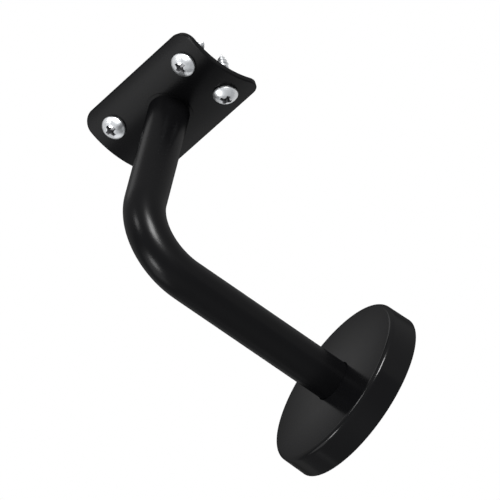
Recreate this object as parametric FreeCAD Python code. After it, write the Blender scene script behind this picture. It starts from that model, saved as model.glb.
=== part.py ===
"""Handrail bracket: a bent tube arm with a curved saddle for the rail and a covered wall plate.

Frame: the origin is the centre of the wall face, on the arm's axis.  +Y points into the wall,
+X runs along the rail and +Z is up.  The arm leaves the wall along -Y, turns up through a square
bend and meets the underside of the saddle.  All sizes are in millimetres and angles in degrees.
"""
import FreeCAD, Part
import math
import os

Vector = FreeCAD.Vector
ORIGIN = Vector(0, 0, 0)
ALONG_RAIL = Vector(1, 0, 0)
INTO_WALL = Vector(0, 1, 0)
UP = Vector(0, 0, 1)

# Arm, a bent round tube
ARM_DIAMETER = 16.0
ARM_WALL = 1.5
ARM_REACH = 105.5           # wall face to the rail's centre plane
ARM_RISE = 75.0             # arm's axis up to the lowest line of the saddle
BEND_RADIUS = 24.5          # to the axis of the tube

# Saddle, a rolled plate that the rail lies in
RAIL_RADIUS = 31.3          # of the rail's underside and the saddle's hollow face
SADDLE_THICKNESS = 2.0
SADDLE_LENGTH = 64.5        # along the rail
SADDLE_WIDTH = 39.0         # straight across, measured on the outer face
SADDLE_CORNER_RADIUS = 6.5
SADDLE_EDGE_RADIUS = 0.4    # break of the outer face's rim
SADDLE_HOLE_DIAMETER = 7.5
SADDLE_HOLE_FROM_END = 10.25    # hole's centre to the saddle's end
SADDLE_HOLE_FROM_SIDE = 9.5     # hole's centre to the long edge, straight across

# Wall plate, the disc that is screwed to the wall under the cap
PLATE_THICKNESS = 4.0
PLATE_RIM_CHAMFER = 0.6
PLATE_HOLE_DIAMETER = 5.5
PLATE_HOLE_CIRCLE = 46.0
PLATE_HOLE_COUNT = 3

# Cover cap, a pressed cup that hides the wall plate and its screws
CAP_DIAMETER = 69.6         # at the rim on the wall
CAP_HEIGHT = 11.5
CAP_SHEET = 1.2
CAP_DRAFT = 1.5             # taper of the pressed side
CAP_EDGE_RADIUS = 1.8       # outer radius between the side and the front
CAP_PLATE_CLEARANCE = 0.2   # between the wall plate's rim and the side, on radius
CAP_ARM_CLEARANCE = 0.25    # between the arm and the cap's hole, on radius

# Welds of the arm
SADDLE_WELD_LEG = 1.2       # on the tube and on the saddle
SADDLE_WELD_TOE = 0.15      # step left at each edge of the bead
WALL_WELD_LEG = 2.5         # on the tube and on the wall plate

# Rail screws, pan heads with a cross recess
SCREW_HEAD_DIAMETER = 9.5
SCREW_HEAD_HEIGHT = 3.7
SCREW_HEAD_SIDE = 0.9       # straight side below the dome
SCREW_CORE_DIAMETER = 3.5   # shank between the threads
SCREW_LENGTH = 19.0         # below the head
SCREW_POINT_LENGTH = 5.0
RECESS_SPAN = 5.2           # tip to tip of the cross at the top
RECESS_WING = 1.2           # width of one wing at the top
RECESS_DEPTH = 2.6
RECESS_FLOOR_SHARE = 0.45   # span and wing width left at the recess's floor

# Turn of each screw's cross recess from the rail's direction
RECESS_TURNS = {
    "rail_screw_front_left": 6.0,
    "rail_screw_front_right": -4.0,
    "rail_screw_rear_left": 21.0,
    "rail_screw_rear_right": -11.0,
}

# Worked out from the sizes above
ARM_RADIUS = ARM_DIAMETER / 2
SADDLE_OUTER_RADIUS = RAIL_RADIUS + SADDLE_THICKNESS
SADDLE_HALF_ANGLE = math.degrees(math.asin(SADDLE_WIDTH / 2 / SADDLE_OUTER_RADIUS))
HOLE_ALONG = SADDLE_LENGTH / 2 - SADDLE_HOLE_FROM_END
HOLE_ACROSS = SADDLE_WIDTH / 2 - SADDLE_HOLE_FROM_SIDE
HOLE_ANGLE = math.degrees(math.asin(HOLE_ACROSS / SADDLE_OUTER_RADIUS))
SADDLE_AXIS_POINT = Vector(0, -ARM_REACH, ARM_RISE + SADDLE_OUTER_RADIUS)
CAP_SIDE_SLOPE = math.tan(math.radians(CAP_DRAFT))


def saddle_cylinder(radius, length):
    """Round bar on the saddle's own axis, centred on the arm along the rail."""
    start = SADDLE_AXIS_POINT - ALONG_RAIL * (length / 2)
    return Part.makeCylinder(radius, length, start, ALONG_RAIL)


def saddle_normal(angle):
    """Outward direction of the saddle at an angle from its lowest line, positive to the wall."""
    turn = math.radians(angle)
    return Vector(0, math.sin(turn), -math.cos(turn))


def saddle_point(angle, radius):
    """Point in the saddle's middle section at an angle from its lowest line."""
    return SADDLE_AXIS_POINT + saddle_normal(angle) * radius


def hole_places():
    """Name, place along the rail and angle of each saddle hole."""
    places = []
    for side, angle in (("front", -HOLE_ANGLE), ("rear", HOLE_ANGLE)):
        for hand, along in (("left", -HOLE_ALONG), ("right", HOLE_ALONG)):
            places.append(("rail_screw_{}_{}".format(side, hand), along, angle))
    return places


def make_saddle_plate():
    """Rolled plate: an arc section drawn along the rail, with rounded corners and four holes."""
    edges = []
    for radius in (SADDLE_OUTER_RADIUS, RAIL_RADIUS):
        ends = [saddle_point(sign * SADDLE_HALF_ANGLE, radius) for sign in (-1, 1)]
        edges.append(Part.Arc(ends[0], saddle_point(0, radius), ends[1]).toShape())
    for sign in (-1, 1):
        inner = saddle_point(sign * SADDLE_HALF_ANGLE, RAIL_RADIUS)
        outer = saddle_point(sign * SADDLE_HALF_ANGLE, SADDLE_OUTER_RADIUS)
        edges.append(Part.makeLine(inner, outer))
    section = Part.Face(Part.Wire(Part.sortEdges(edges)[0]))
    section.translate(ALONG_RAIL * (-SADDLE_LENGTH / 2))
    plate = section.extrude(ALONG_RAIL * SADDLE_LENGTH)

    corners = [edge for edge in plate.Edges if is_corner_edge(edge)]
    plate = plate.makeFillet(SADDLE_CORNER_RADIUS, corners)
    rim = [edge for edge in plate.Edges if is_outer_rim_edge(edge)]
    plate = plate.makeFillet(SADDLE_EDGE_RADIUS, rim)

    for _name, along, angle in hole_places():
        normal = saddle_normal(angle)
        start = SADDLE_AXIS_POINT + ALONG_RAIL * along
        drill = Part.makeCylinder(SADDLE_HOLE_DIAMETER / 2, 2 * SADDLE_OUTER_RADIUS, start, normal)
        plate = plate.cut(drill)
    return plate


def is_corner_edge(edge):
    """True for the four short edges through the thickness at the saddle's corners."""
    ends = [vertex.Point for vertex in edge.Vertexes]
    if len(ends) != 2:
        return False
    same_place = abs(ends[0].x - ends[1].x) < 1e-6
    return same_place and abs(ends[0].distanceToPoint(ends[1]) - SADDLE_THICKNESS) < 1e-6


def is_outer_rim_edge(edge):
    """True for every edge that lies wholly on the saddle's outer face."""
    samples = edge.discretize(5)
    return all(abs(axis_distance(point) - SADDLE_OUTER_RADIUS) < 1e-4 for point in samples)


def axis_distance(point):
    """Distance of a point from the saddle's axis."""
    return math.hypot(point.y - SADDLE_AXIS_POINT.y, point.z - SADDLE_AXIS_POINT.z)


def arm_rod(radius):
    """Solid round rod on the arm's axis: a straight run off the wall plate, the bend and a riser."""
    run_start = Vector(0, -PLATE_THICKNESS, 0)
    bend_start = Vector(0, BEND_RADIUS - ARM_REACH, 0)
    bend_centre = bend_start + UP * BEND_RADIUS
    bend_end = bend_centre - INTO_WALL * BEND_RADIUS
    run = Part.makeCylinder(radius, run_start.distanceToPoint(bend_start), run_start, -INTO_WALL)
    ring = Part.Wire([Part.makeCircle(radius, bend_start, INTO_WALL)])
    bend = Part.Face(ring).revolve(bend_centre, ALONG_RAIL, -90)
    riser = Part.makeCylinder(radius, ARM_RISE + ARM_RADIUS - BEND_RADIUS, bend_end, UP)
    return run.fuse([bend, riser]).removeSplitter()


def make_arm_tube():
    """Bent tube, square at the wall plate and coped to the saddle's underside."""
    tube = arm_rod(ARM_RADIUS).cut(arm_rod(ARM_RADIUS - ARM_WALL))
    return tube.cut(saddle_cylinder(SADDLE_OUTER_RADIUS, 2 * ARM_DIAMETER))


def make_saddle_weld():
    """Bead of weld round the coped end of the tube, with a flat sloping face."""
    length = 2 * ARM_DIAMETER
    ring_radius = ARM_RADIUS + SADDLE_WELD_LEG
    ring_base = Vector(0, -ARM_REACH, ARM_RISE - ARM_DIAMETER)
    ring_height = ARM_DIAMETER + SADDLE_OUTER_RADIUS
    ring = Part.makeCylinder(ring_radius, ring_height, ring_base, UP)
    bead = ring.common(saddle_cylinder(SADDLE_OUTER_RADIUS + SADDLE_WELD_LEG, length))
    corner = [edge for edge in bead.Edges if is_weld_corner(edge)]
    bead = bead.makeChamfer(SADDLE_WELD_LEG - SADDLE_WELD_TOE, corner)
    bead = bead.cut(saddle_cylinder(SADDLE_OUTER_RADIUS, length))
    return bead.cut(Part.makeCylinder(ARM_RADIUS, ring_height, ring_base, UP))


def is_weld_corner(edge):
    """True for the outer, lower corner of the square ring that the bead is cut from."""
    ring_radius = ARM_RADIUS + SADDLE_WELD_LEG
    band_radius = SADDLE_OUTER_RADIUS + SADDLE_WELD_LEG
    samples = edge.discretize(9)
    on_ring = all(abs(math.hypot(p.x, p.y + ARM_REACH) - ring_radius) < 1e-3 for p in samples)
    on_band = all(abs(axis_distance(p) - band_radius) < 1e-3 for p in samples)
    return on_ring and on_band


def cap_outer_radius(depth):
    """Outer radius of the cap's drawn side at a distance out from the wall."""
    return CAP_DIAMETER / 2 - depth * CAP_SIDE_SLOPE


def revolve_about_arm(edges):
    """Solid of revolution about the arm's axis from a closed section in the YZ plane."""
    face = Part.Face(Part.Wire(Part.sortEdges(edges)[0]))
    return face.revolve(ORIGIN, INTO_WALL, 360)


def polygon_edges(points):
    """Straight edges round a closed outline."""
    return Part.makePolygon(list(points) + [points[0]]).Edges


def make_wall_plate():
    """Disc on the wall with screw holes on a circle and a chamfer that leads the cap on."""
    radius = cap_outer_radius(PLATE_THICKNESS) - CAP_SHEET - CAP_PLATE_CLEARANCE
    plate = revolve_about_arm(polygon_edges([
        Vector(0, 0, 0),
        Vector(0, 0, radius),
        Vector(0, PLATE_RIM_CHAMFER - PLATE_THICKNESS, radius),
        Vector(0, -PLATE_THICKNESS, radius - PLATE_RIM_CHAMFER),
        Vector(0, -PLATE_THICKNESS, 0),
    ]))
    for index in range(PLATE_HOLE_COUNT):
        turn = math.radians(90 + 360 * index / PLATE_HOLE_COUNT)
        place = Vector(math.cos(turn), 0, math.sin(turn)) * (PLATE_HOLE_CIRCLE / 2)
        start = place - INTO_WALL * (2 * PLATE_THICKNESS)
        drill = Part.makeCylinder(PLATE_HOLE_DIAMETER / 2, 3 * PLATE_THICKNESS, start, INTO_WALL)
        plate = plate.cut(drill)
    return plate


def make_wall_weld():
    """Ring of weld between the tube and the front of the wall plate."""
    return revolve_about_arm(polygon_edges([
        Vector(0, -PLATE_THICKNESS, ARM_RADIUS),
        Vector(0, -PLATE_THICKNESS, ARM_RADIUS + WALL_WELD_LEG),
        Vector(0, -PLATE_THICKNESS - WALL_WELD_LEG, ARM_RADIUS),
    ]))


def cap_section(inset):
    """Side and front of the pressed cup, moved in by a share of the sheet, as a filled outline."""
    front = CAP_HEIGHT - inset
    rim = CAP_DIAMETER / 2 - inset
    shoulder = rim - front * CAP_SIDE_SLOPE
    return [
        Vector(0, 0, 0),
        Vector(0, 0, rim),
        Vector(0, -front, shoulder),
        Vector(0, -front, 0),
    ]


def make_cover_cap():
    """Pressed cup: drafted side, rounded front edge and a hole for the arm."""
    outer = revolve_about_arm(polygon_edges(cap_section(0)))
    outer = outer.makeFillet(CAP_EDGE_RADIUS, front_edges(outer, CAP_HEIGHT))
    inner = revolve_about_arm(polygon_edges(cap_section(CAP_SHEET)))
    inner_radius = max(CAP_EDGE_RADIUS - CAP_SHEET, CAP_SHEET / 4)
    inner = inner.makeFillet(inner_radius, front_edges(inner, CAP_HEIGHT - CAP_SHEET))
    cup = outer.cut(inner)
    hole_radius = ARM_RADIUS + CAP_ARM_CLEARANCE
    hole_start = Vector(0, -2 * CAP_HEIGHT, 0)
    return cup.cut(Part.makeCylinder(hole_radius, 2 * CAP_HEIGHT, hole_start, INTO_WALL))


def front_edges(solid, depth):
    """Circular edges in the plane at a distance out from the wall."""
    circles = []
    for edge in solid.Edges:
        if all(abs(point.y + depth) < 1e-6 for point in edge.discretize(5)):
            circles.append(edge)
    return circles


def recess_wing(turn):
    """One tapered bar of the cross recess, cut down from the top of the head."""
    rings = []
    floor = RECESS_DEPTH - SCREW_HEAD_HEIGHT
    for share, height in ((1.0, -SCREW_HEAD_HEIGHT), (RECESS_FLOOR_SHARE, floor)):
        half_span = RECESS_SPAN * share / 2
        half_wing = RECESS_WING * share / 2
        corners = [(-1, -1), (1, -1), (1, 1), (-1, 1), (-1, -1)]
        points = [Vector(half_span * x, half_wing * y, height) for x, y in corners]
        rings.append(Part.makePolygon(points))
    wing = Part.makeLoft(rings, True, True)
    wing.rotate(ORIGIN, UP, turn)
    return wing


def make_screw_blank():
    """Pan head screw with its seat at the origin, its head below and its point along +Z."""
    head_radius = SCREW_HEAD_DIAMETER / 2
    core_radius = SCREW_CORE_DIAMETER / 2
    dome_rise = SCREW_HEAD_HEIGHT - SCREW_HEAD_SIDE
    dome_radius = (head_radius ** 2 + dome_rise ** 2) / (2 * dome_rise)
    half_turn = math.asin(head_radius / dome_radius) / 2
    dome_middle = Vector(
        dome_radius * math.sin(half_turn),
        0,
        dome_radius * (1 - math.cos(half_turn)) - SCREW_HEAD_HEIGHT,
    )
    crown = Vector(0, 0, -SCREW_HEAD_HEIGHT)
    shoulder = Vector(head_radius, 0, -SCREW_HEAD_SIDE)
    outline = [
        shoulder,
        Vector(head_radius, 0, 0),
        Vector(core_radius, 0, 0),
        Vector(core_radius, 0, SCREW_LENGTH - SCREW_POINT_LENGTH),
        Vector(0, 0, SCREW_LENGTH),
        crown,
    ]
    edges = Part.makePolygon(outline).Edges
    edges.append(Part.Arc(crown, dome_middle, shoulder).toShape())
    face = Part.Face(Part.Wire(Part.sortEdges(edges)[0]))
    screw = face.revolve(ORIGIN, UP, 360)
    for turn in (0, 90):
        screw = screw.cut(recess_wing(turn))
    return screw


def make_rail_screws():
    """One screw in each saddle hole, square to the plate with its head on the outer face."""
    blank = make_screw_blank()
    screws = {}
    for name, along, angle in hole_places():
        screw = blank.copy()
        screw.rotate(ORIGIN, UP, RECESS_TURNS[name])
        screw.rotate(ORIGIN, ALONG_RAIL, angle)
        screw.translate(saddle_point(angle, SADDLE_OUTER_RADIUS) + ALONG_RAIL * along)
        screws[name] = screw
    return screws


def main():
    """Make every piece and write one STEP file for each."""
    pieces = {
        "saddle_plate": make_saddle_plate(),
        "arm_tube": make_arm_tube(),
        "saddle_weld": make_saddle_weld(),
        "wall_plate": make_wall_plate(),
        "wall_weld": make_wall_weld(),
        "cover_cap": make_cover_cap(),
    }
    pieces.update(make_rail_screws())
    os.makedirs("parts", exist_ok=True)
    for name, shape in pieces.items():
        shape.exportStep("parts/" + name + ".step")


main()
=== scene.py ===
"""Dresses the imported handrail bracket: powder coated tube, saddle and cap, zinc plated screws.

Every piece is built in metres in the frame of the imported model: the origin is the centre of the
wall face on the arm's axis, +Y points into the wall, +X runs along the rail and +Z is up.
"""
import logging
import math
from collections.abc import Callable, Mapping, Sequence
from dataclasses import dataclass
from enum import Enum
from functools import partial
from typing import Any

import bmesh
import bpy
from mathutils import Matrix, Vector
from mathutils.geometry import delaunay_2d_cdt


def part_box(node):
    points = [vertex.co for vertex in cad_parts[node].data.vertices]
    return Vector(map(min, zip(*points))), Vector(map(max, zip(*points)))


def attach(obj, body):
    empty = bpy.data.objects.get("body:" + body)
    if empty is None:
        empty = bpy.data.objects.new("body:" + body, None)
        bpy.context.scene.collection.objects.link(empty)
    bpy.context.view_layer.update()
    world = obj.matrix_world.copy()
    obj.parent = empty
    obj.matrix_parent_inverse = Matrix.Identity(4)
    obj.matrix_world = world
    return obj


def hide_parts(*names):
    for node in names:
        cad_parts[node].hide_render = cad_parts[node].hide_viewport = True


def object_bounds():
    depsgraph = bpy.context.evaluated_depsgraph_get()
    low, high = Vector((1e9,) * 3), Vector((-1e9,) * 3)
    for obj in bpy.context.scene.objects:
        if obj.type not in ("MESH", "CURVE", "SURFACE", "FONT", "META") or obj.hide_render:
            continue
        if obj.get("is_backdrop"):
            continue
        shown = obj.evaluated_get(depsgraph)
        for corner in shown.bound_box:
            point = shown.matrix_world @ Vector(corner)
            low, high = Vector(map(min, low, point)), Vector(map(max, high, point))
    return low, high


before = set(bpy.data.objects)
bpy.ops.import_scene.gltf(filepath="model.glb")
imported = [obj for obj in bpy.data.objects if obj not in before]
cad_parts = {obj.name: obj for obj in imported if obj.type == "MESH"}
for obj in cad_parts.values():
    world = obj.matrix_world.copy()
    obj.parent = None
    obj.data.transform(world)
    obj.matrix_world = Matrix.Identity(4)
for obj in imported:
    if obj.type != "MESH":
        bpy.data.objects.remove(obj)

LOG = logging.getLogger("handrail_bracket")
MM = 0.001
ROOT_BODY = "root"
SMOOTH_LIMIT = math.radians(32)
MERGE_DISTANCE = 1e-7
RECESS_ATTRIBUTE = "recess"
TURN_ATTRIBUTE = "turn"
FLAT_LAYER = "flat"

Point2 = tuple[float, float]
Colour = tuple[float, float, float]


# ---------------------------------------------------------------- node graphs


class Value:
    """A float socket that Python arithmetic adds Math nodes to."""

    def __init__(self, graph: "Graph", socket: bpy.types.NodeSocket) -> None:
        """Wraps an output socket of the graph."""
        self.graph = graph
        self.socket = socket

    def math(self, operation: str, *terms: "Value | float") -> "Value":
        """Adds one Math node.

        Args:
            operation: the Math node's operation, such as MULTIPLY.
            terms: its inputs, in order, as values or plain numbers.

        Returns:
            The node's result.
        """
        inputs = dict(enumerate(terms))
        node = self.graph.node("ShaderNodeMath", {"operation": operation}, inputs)
        return Value(self.graph, node.outputs[0])

    def __add__(self, other: "Value | float") -> "Value":
        """Sum of this value and another."""
        return self.math("ADD", self, other)

    def __radd__(self, other: float) -> "Value":
        """Sum of a number and this value."""
        return self.math("ADD", other, self)

    def __sub__(self, other: "Value | float") -> "Value":
        """This value less another."""
        return self.math("SUBTRACT", self, other)

    def __rsub__(self, other: float) -> "Value":
        """A number less this value."""
        return self.math("SUBTRACT", other, self)

    def __mul__(self, other: "Value | float") -> "Value":
        """Product of this value and another."""
        return self.math("MULTIPLY", self, other)

    def __rmul__(self, other: float) -> "Value":
        """Product of a number and this value."""
        return self.math("MULTIPLY", other, self)

    def __truediv__(self, other: "Value | float") -> "Value":
        """This value divided by another."""
        return self.math("DIVIDE", self, other)

    def __rtruediv__(self, other: float) -> "Value":
        """A number divided by this value."""
        return self.math("DIVIDE", other, self)

    def sine(self) -> "Value":
        """Sine of this value in radians."""
        return self.math("SINE", self)

    def root(self) -> "Value":
        """Square root of this value."""
        return self.math("SQRT", self)

    def at_most(self, other: "Value | float") -> "Value":
        """The lesser of this value and another."""
        return self.math("MINIMUM", self, other)

    def at_least(self, other: "Value | float") -> "Value":
        """The greater of this value and another."""
        return self.math("MAXIMUM", self, other)


class Graph:
    """Adds nodes to one shader, world or geometry tree."""

    def __init__(self, tree: bpy.types.NodeTree) -> None:
        """Takes the tree that the nodes go into."""
        self.tree = tree
        self.output: bpy.types.Node | None = None

    def node(
        self,
        kind: str,
        settings: Mapping[str, Any] | None = None,
        inputs: Mapping[str | int, Any] | None = None,
    ) -> bpy.types.Node:
        """Adds one node, with its settings made first and its sockets filled after them.

        Args:
            kind: the node's type name.
            settings: attributes of the node, such as an operation.
            inputs: values or links by socket name or index.

        Returns:
            The new node.
        """
        node = self.tree.nodes.new(kind)
        for name, setting in (settings or {}).items():
            setattr(node, name, setting)
        for key, source in (inputs or {}).items():
            self.fill(node.inputs[key], source)
        return node

    def fill(self, socket: bpy.types.NodeSocket, source: Any) -> None:
        """Links a value or a socket to an input, or sets the input's own number.

        Args:
            socket: the input to fill.
            source: a Value, an output socket, or a plain number, vector or colour.
        """
        if isinstance(source, Value):
            source = source.socket
        if isinstance(source, bpy.types.NodeSocket):
            self.tree.links.new(source, socket)
        else:
            socket.default_value = source

    def value(self, node: bpy.types.Node, output: str | int = 0) -> Value:
        """The output of a node as a value for arithmetic."""
        return Value(self, node.outputs[output])

    def noise(self, place: bpy.types.NodeSocket, size: float, detail: float) -> Value:
        """Smooth noise between 0 and 1.

        Args:
            place: the coordinates that the noise is read at.
            size: rough size of one blotch, in metres.
            detail: number of finer octaves.

        Returns:
            The noise.
        """
        settings = {"noise_dimensions": "3D"}
        inputs = {"Vector": place, "Scale": 1 / size, "Detail": detail, "Roughness": 0.5}
        return self.value(self.node("ShaderNodeTexNoise", settings, inputs))

    def mix_colours(self, share: Value | float, first: Any, second: Any) -> bpy.types.NodeSocket:
        """Blend of two colours or colour sockets, where a share of 1 gives the second."""
        inputs = {0: share, 6: first, 7: second}
        return self.node("ShaderNodeMix", {"data_type": "RGBA"}, inputs).outputs[2]

    def bump(self, height: Value) -> bpy.types.NodeSocket:
        """Normals of a skin that is raised by a height, in metres."""
        inputs = {"Height": height / MM, "Distance": MM}
        return self.node("ShaderNodeBump", None, inputs).outputs[0]


# ---------------------------------------------------------------- finishes


def opaque(colour: Colour) -> tuple[float, float, float, float]:
    """A colour with full opacity."""
    return (*colour, 1.0)


def scaled(colour: Colour, factor: float) -> Colour:
    """A colour made lighter or darker by a factor."""
    return (colour[0] * factor, colour[1] * factor, colour[2] * factor)


def new_material(name: str) -> tuple[bpy.types.Material, Graph, bpy.types.Node]:
    """An empty material with a Principled shader.

    Args:
        name: the material's name.

    Returns:
        The material, its graph and its Principled node.
    """
    material = bpy.data.materials.new(name)
    material.use_nodes = True
    material.node_tree.nodes.clear()
    graph = Graph(material.node_tree)
    shader = graph.node("ShaderNodeBsdfPrincipled")
    graph.output = graph.node("ShaderNodeOutputMaterial", None, {"Surface": shader.outputs[0]})
    return material, graph, shader


@dataclass(frozen=True)
class PowderCoat:
    """Black powder coat: a flowed skin with a faint orange peel and a fine grain."""

    name: str
    slot: str
    colour: Colour
    colour_spread: float
    roughness: float
    roughness_spread: float
    specular_level: float
    peel_size: float
    peel_height: float
    grain_size: float
    grain_height: float
    dull_start: float
    dull_end: float
    dull_share: float
    matte_limit: float
    matte_roughness: float = 0.9
    blotch_scale: float = 9.0
    blotch_share: float = 0.6

    def material(self) -> bpy.types.Material:
        """Builds the coat's material on object coordinates.

        The rough skin hides its own gloss from a glancing view, so a matte shader takes over
        as the surface turns away, and a little more of it away from the arm's axis.

        Returns:
            The material.
        """
        material, graph, shader = new_material(self.name)
        place = graph.node("ShaderNodeTexCoord").outputs["Object"]
        blotch = graph.noise(place, self.peel_size * self.blotch_scale, 2.0)
        peel = graph.noise(place, self.peel_size, 1.0)
        grain = graph.noise(place, self.grain_size, 2.0)
        dark = opaque(scaled(self.colour, 1 - self.colour_spread))
        light = opaque(scaled(self.colour, 1 + self.colour_spread))
        shade = blotch * self.blotch_share + grain * (1 - self.blotch_share)
        colour = graph.mix_colours(shade, dark, light)
        spread = (blotch - 0.5) * 2 * self.roughness_spread + (grain - 0.5) * self.roughness_spread
        normal = graph.bump(peel * self.peel_height + grain * self.grain_height)
        matte = graph.node("ShaderNodeBsdfPrincipled")
        for skin, rough in ((shader, spread + self.roughness), (matte, self.matte_roughness)):
            graph.fill(skin.inputs["Base Color"], colour)
            graph.fill(skin.inputs["Roughness"], rough)
            graph.fill(skin.inputs["Normal"], normal)
        shader.inputs["Specular IOR Level"].default_value = self.specular_level
        matte.inputs["Specular IOR Level"].default_value = 0.0
        weight = graph.node("ShaderNodeLayerWeight", None, {"Blend": 0.5})
        split = graph.node("ShaderNodeSeparateXYZ", None, {0: place})
        across, upward = graph.value(split, 0), graph.value(split, 2)
        distance = (across * across + upward * upward).root()
        dulled = (distance - self.dull_start) / (self.dull_end - self.dull_start)
        dulled = dulled.at_least(0.0).at_most(1.0) * self.dull_share
        share = graph.value(weight, "Facing") * (dulled + 1.0)
        inputs = {0: share.at_most(self.matte_limit), 1: shader.outputs[0], 2: matte.outputs[0]}
        mixed = graph.node("ShaderNodeMixShader", None, inputs)
        graph.fill(graph.output.inputs["Surface"], mixed.outputs[0])
        return material


@dataclass(frozen=True)
class ZincPlate:
    """Bright zinc plating on a pressed screw, with painted shade darkening the driver's recess."""

    name: str
    slot: str
    colour: Colour
    # painted shade: darker colour for the faces inside the driver's recess
    recess_shade_colour: Colour
    roughness: float
    roughness_spread: float
    recess_roughness: float
    mottle_size: float
    mottle_spread: float
    pit_size: float
    pit_height: float
    recess_attribute: str

    def material(self) -> bpy.types.Material:
        """Builds the plating's material on object coordinates and the recess attribute, which
        paints shade into the recess.

        Returns:
            The material.
        """
        material, graph, shader = new_material(self.name)
        place = graph.node("ShaderNodeTexCoord").outputs["Object"]
        mottle = graph.noise(place, self.mottle_size, 2.0)
        pits = graph.noise(place, self.pit_size, 1.0)
        settings = {"attribute_name": self.recess_attribute}
        recess = graph.value(graph.node("ShaderNodeAttribute", settings), "Fac")
        dark = opaque(scaled(self.colour, 1 - self.mottle_spread))
        light = opaque(self.colour)
        plating = graph.mix_colours(mottle, dark, light)
        # painted shade: the faces that the recess attribute marks take the darker recess colour
        colour = graph.mix_colours(recess, plating, opaque(self.recess_shade_colour))
        graph.fill(shader.inputs["Base Color"], colour)
        shader.inputs["Metallic"].default_value = 1.0
        rough = mottle * (2 * self.roughness_spread) + (self.roughness - self.roughness_spread)
        rough = rough + recess * (self.recess_roughness - self.roughness)
        graph.fill(shader.inputs["Roughness"], rough)
        graph.fill(shader.inputs["Normal"], graph.bump(pits * self.pit_height))
        return material


ARM_COAT = PowderCoat(
    name="black_powder_coat",
    slot="black_coat",
    colour=(0.0018, 0.0018, 0.0020),
    colour_spread=0.18,
    roughness=0.27,
    roughness_spread=0.03,
    specular_level=0.09,
    peel_size=1.6 * MM,
    peel_height=0.010 * MM,
    grain_size=0.22 * MM,
    grain_height=0.0025 * MM,
    dull_start=12.0 * MM,
    dull_end=33.0 * MM,
    dull_share=0.0,
    matte_limit=1.0,
)
CAP_COAT = PowderCoat(
    name="black_cap_coat",
    slot="cap_coat",
    colour=(0.0018, 0.0018, 0.0020),
    colour_spread=0.14,
    roughness=0.17,
    roughness_spread=0.02,
    specular_level=0.13,
    peel_size=1.9 * MM,
    peel_height=0.006 * MM,
    grain_size=0.25 * MM,
    grain_height=0.001 * MM,
    dull_start=12.0 * MM,
    dull_end=33.0 * MM,
    dull_share=0.25,
    matte_limit=0.94,
)
SCREW_ZINC = ZincPlate(
    name="bright_zinc",
    slot="screw_zinc",
    colour=(0.58, 0.59, 0.60),
    # painted shade in the driver's recess
    recess_shade_colour=(0.18, 0.18, 0.185),
    roughness=0.38,
    roughness_spread=0.06,
    recess_roughness=0.5,
    mottle_size=1.3 * MM,
    mottle_spread=0.12,
    pit_size=0.35 * MM,
    pit_height=0.004 * MM,
    recess_attribute=RECESS_ATTRIBUTE,
)


# ---------------------------------------------------------------- mesh helpers


def mesh_object(name: str, mesh: bpy.types.Mesh) -> bpy.types.Object:
    """Links a mesh into the scene as an object at the origin.

    Args:
        name: the object's name.
        mesh: its mesh.

    Returns:
        The object.
    """
    piece = bpy.data.objects.new(name, mesh)
    bpy.context.scene.collection.objects.link(piece)
    return piece


def smooth(mesh: bpy.types.Mesh) -> None:
    """Shades a mesh smooth, with its corners kept sharp."""
    mesh.shade_smooth()
    mesh.set_sharp_from_angle(angle=SMOOTH_LIMIT)


def face_outwards(mesh: bpy.types.Mesh, merge: float = MERGE_DISTANCE) -> None:
    """Merges doubled points and turns every face outwards.

    Args:
        mesh: a mesh with closed shells.
        merge: points nearer than this become one, in metres.
    """
    work = bmesh.new()
    work.from_mesh(mesh)
    bmesh.ops.remove_doubles(work, verts=work.verts, dist=merge)
    bmesh.ops.recalc_face_normals(work, faces=work.faces)
    work.to_mesh(mesh)
    work.free()


def arc_points(
    centre: Point2, radius: float, start: float, end: float, count: int
) -> list[Point2]:
    """Points on an arc.

    Args:
        centre: the arc's centre.
        radius: its radius.
        start: first angle, in degrees.
        end: last angle, in degrees.
        count: number of points, both ends included.

    Returns:
        The points in order.
    """
    points = []
    for index in range(count):
        turn = math.radians(start + (end - start) * index / (count - 1))
        points.append((centre[0] + radius * math.cos(turn), centre[1] + radius * math.sin(turn)))
    return points


def lathe(
    name: str,
    section: Sequence[Point2],
    segments: int,
    place: Callable[[float, float, float], Vector],
    closed: bool,
) -> bpy.types.Mesh:
    """Turns a section about an axis.

    Args:
        name: the mesh's name.
        section: (radius, distance along the axis) pairs; a radius of 0 makes a pole.
        segments: number of steps round the axis.
        place: gives the point for a radius, a distance along the axis and a turn in radians.
        closed: True if the section's last point joins its first.

    Returns:
        The mesh.
    """
    work = bmesh.new()
    rows: list[list[bmesh.types.BMVert]] = []
    for radius, along in section:
        count = 1 if radius == 0 else segments
        turns = [2 * math.pi * step / segments for step in range(count)]
        rows.append([work.verts.new(place(radius, along, turn)) for turn in turns])
    pairs = list(zip(rows, rows[1:]))
    if closed:
        pairs.append((rows[-1], rows[0]))
    for first, second in pairs:
        bridge(work, first, second)
    mesh = bpy.data.meshes.new(name)
    work.to_mesh(mesh)
    work.free()
    return mesh


def bridge(work: bmesh.types.BMesh, first: list[Any], second: list[Any]) -> None:
    """Joins two closed rings of points by faces, or a ring and a pole by a fan.

    Args:
        work: the mesh being built.
        first: points of one ring, or one point.
        second: points of the other ring, or one point.
    """
    count = max(len(first), len(second))
    for step in range(count):
        after = (step + 1) % count
        corners = []
        for ring, order in ((first, (step, after)), (second, (after, step))):
            corners += [ring[0]] if len(ring) == 1 else [ring[index] for index in order]
        work.faces.new(corners)


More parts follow.
